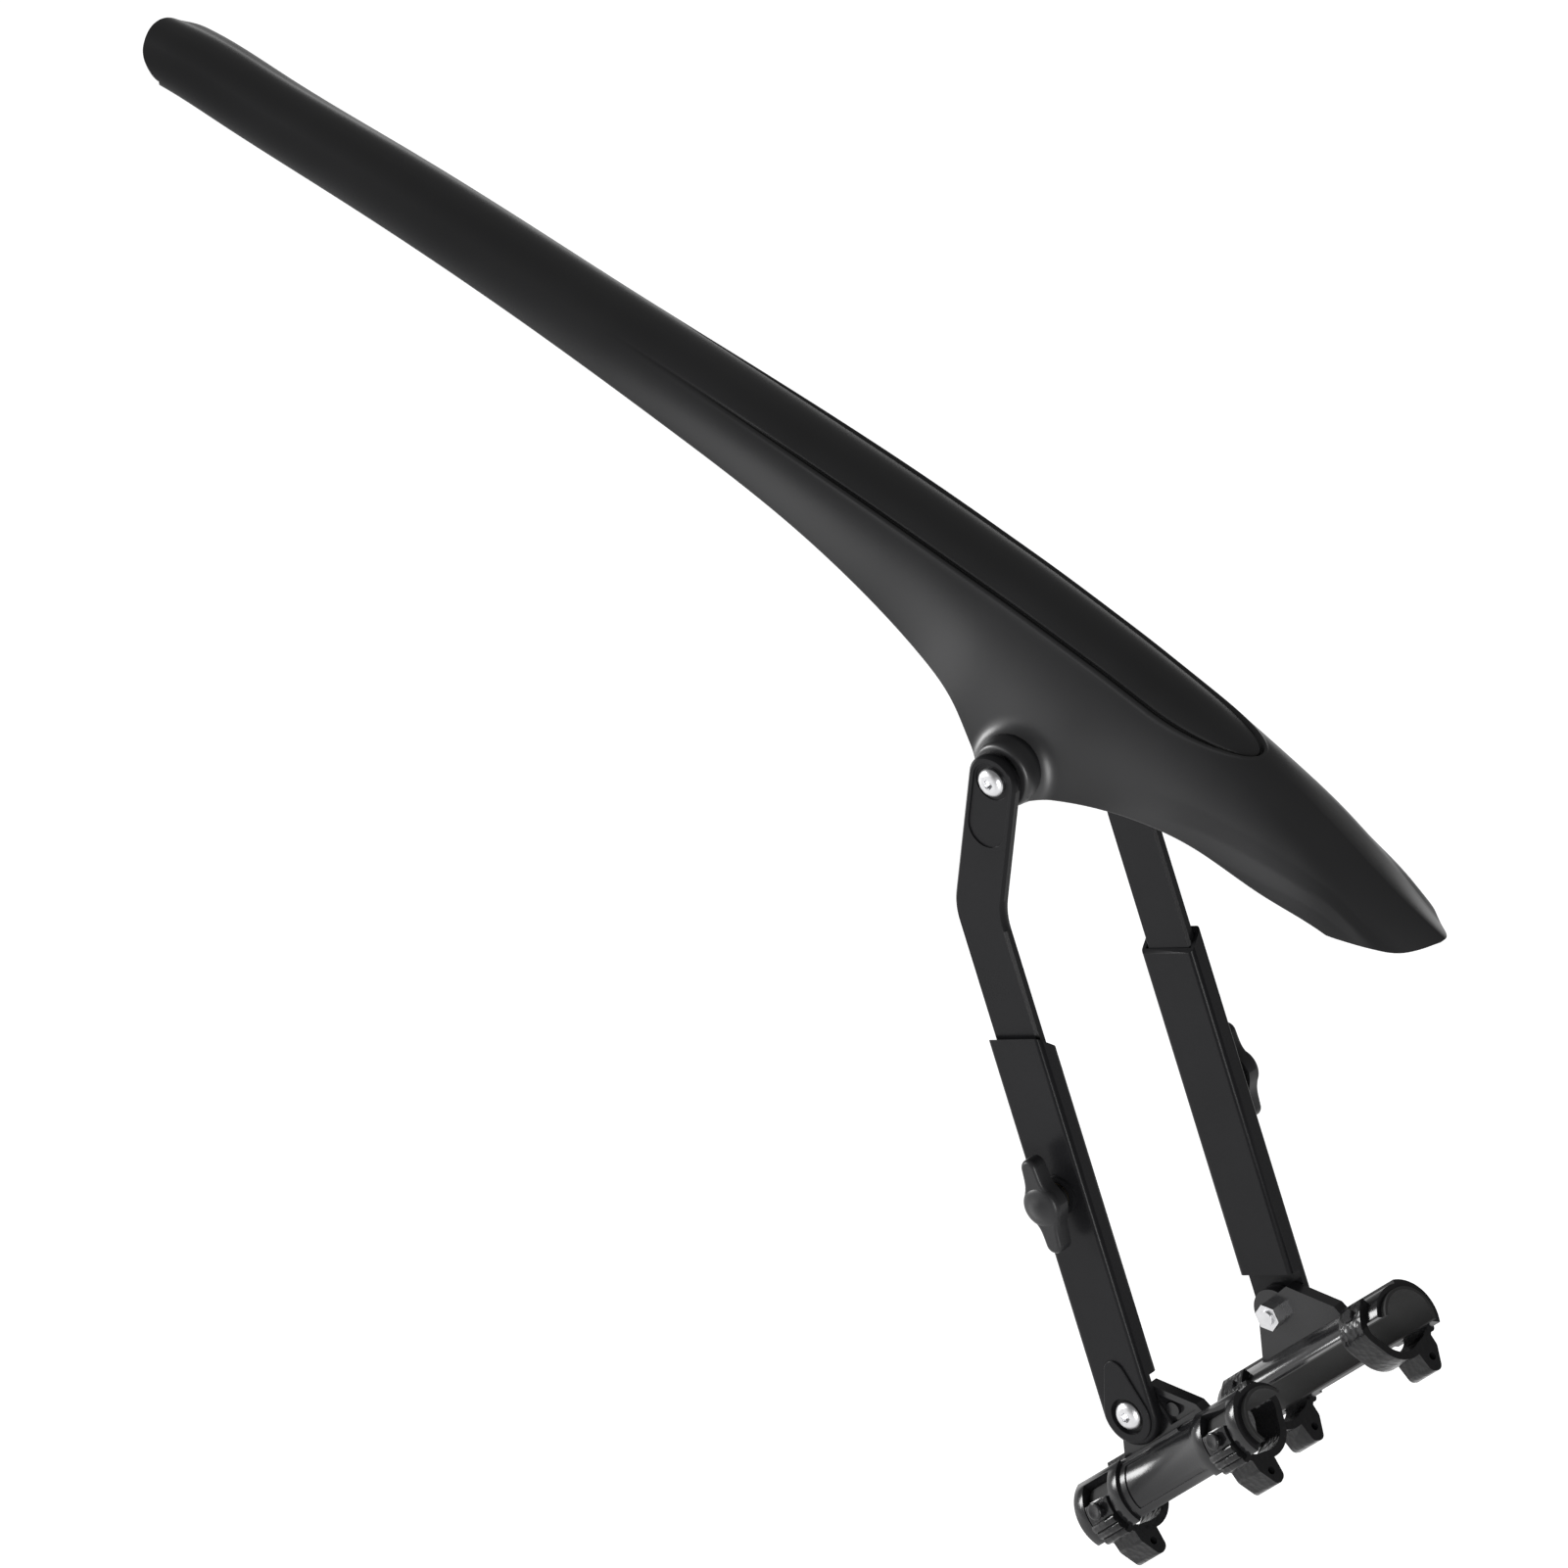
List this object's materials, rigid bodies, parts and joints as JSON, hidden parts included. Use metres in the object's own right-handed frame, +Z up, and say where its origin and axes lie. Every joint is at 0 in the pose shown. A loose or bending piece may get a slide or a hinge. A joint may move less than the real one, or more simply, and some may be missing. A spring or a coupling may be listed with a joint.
{
  "type": "bicycle mudguard",
  "caption": "Clip-on rear bicycle mudguard: a long ridged black blade on telescopic flat struts, pinned to padded clamps that strap onto the seat stays.",
  "frame": {"origin": "midway between the two tube channels, below the ears of the clamps", "axes": "+X forward, +Y to the left, +Z up, as the mudguard stands over the rear wheel"},
  "size_m": [0.5017, 0.1104, 0.3941],
  "materials": {
    "blade_black": "satin black moulded plastic with a fine grain",
    "strut_black": "satin black moulded plastic",
    "knob_black": "semi-gloss black moulded plastic",
    "clamp_black": "semi-gloss black moulded plastic",
    "washer_black": "plain black plastic",
    "pad_rubber": "soft matt black rubber",
    "strap_rubber": "smooth glossy black rubber",
    "screw_steel": "bright zinc-plated steel",
    "insert_brass": "plain turned brass"
  },
  "bodies": {
    "clamps": {"clamp_right": "clamp_black", "pad_right": "pad_rubber", "strap_rear_right": "strap_rubber", "strap_front_right": "strap_rubber", "screw_low_right": "screw_steel", "nut_right": "screw_steel", "washer_low_right": "washer_black", "clamp_left": "clamp_black", "pad_left": "pad_rubber", "strap_rear_left": "strap_rubber", "strap_front_left": "strap_rubber", "screw_low_left": "screw_steel", "nut_left": "screw_steel", "washer_low_left": "washer_black"},
    "sleeve_right": {"sleeve_right": "strut_black", "insert_sleeve_right": "insert_brass"},
    "sleeve_left": {"sleeve_left": "strut_black", "insert_sleeve_left": "insert_brass"},
    "arm_right": {"arm_right": "strut_black"},
    "arm_left": {"arm_left": "strut_black"},
    "blade": {"blade": "blade_black", "insert_top_right": "insert_brass", "screw_top_right": "screw_steel", "washer_top_right": "washer_black", "insert_top_left": "insert_brass", "screw_top_left": "screw_steel", "washer_top_left": "washer_black"},
    "wing_right": {"knob_right": "knob_black", "stud_right": "screw_steel"},
    "wing_left": {"knob_left": "knob_black", "stud_left": "screw_steel"}
  },
  "joints": [
    {"name": "swing_right", "type": "hinge", "parent": "clamps", "child": "sleeve_right", "pos_m": [-0.01562, -0.039, 0.01675], "axis": [0, 1, 0], "range_deg": [-80, 24]},
    {"name": "swing_left", "type": "hinge", "parent": "clamps", "child": "sleeve_left", "pos_m": [-0.01562, 0.039, 0.01675], "axis": [0, 1, 0], "range_deg": [-80, 24]},
    {"name": "extend_right", "type": "slide", "parent": "sleeve_right", "child": "arm_right", "axis": [-0.3518, 0, 0.9361], "range_m": [-0.02, 0.02]},
    {"name": "extend_left", "type": "slide", "parent": "sleeve_left", "child": "arm_left", "axis": [-0.3518, 0, 0.9361], "range_m": [-0.02, 0.02]},
    {"name": "tilt", "type": "hinge", "parent": "arm_right", "child": "blade", "pos_m": [-0.07084, 0, 0.22606], "axis": [0, 1, 0], "range_deg": [-125, 55]},
    {"name": "wing_turn_right", "type": "hinge", "parent": "sleeve_right", "child": "wing_right", "pos_m": [-0.04236, -0.05, 0.08789], "axis": [0, -1, 0], "range_deg": [0, 360]},
    {"name": "wing_turn_left", "type": "hinge", "parent": "sleeve_left", "child": "wing_left", "pos_m": [-0.04236, 0.05, 0.08789], "axis": [0, 1, 0], "range_deg": [0, 360]}
  ],
  "couplings": [
    {"joint": "swing_left", "follows": "swing_right", "ratio": 1},
    {"joint": "extend_left", "follows": "extend_right", "ratio": 1}
  ]
}
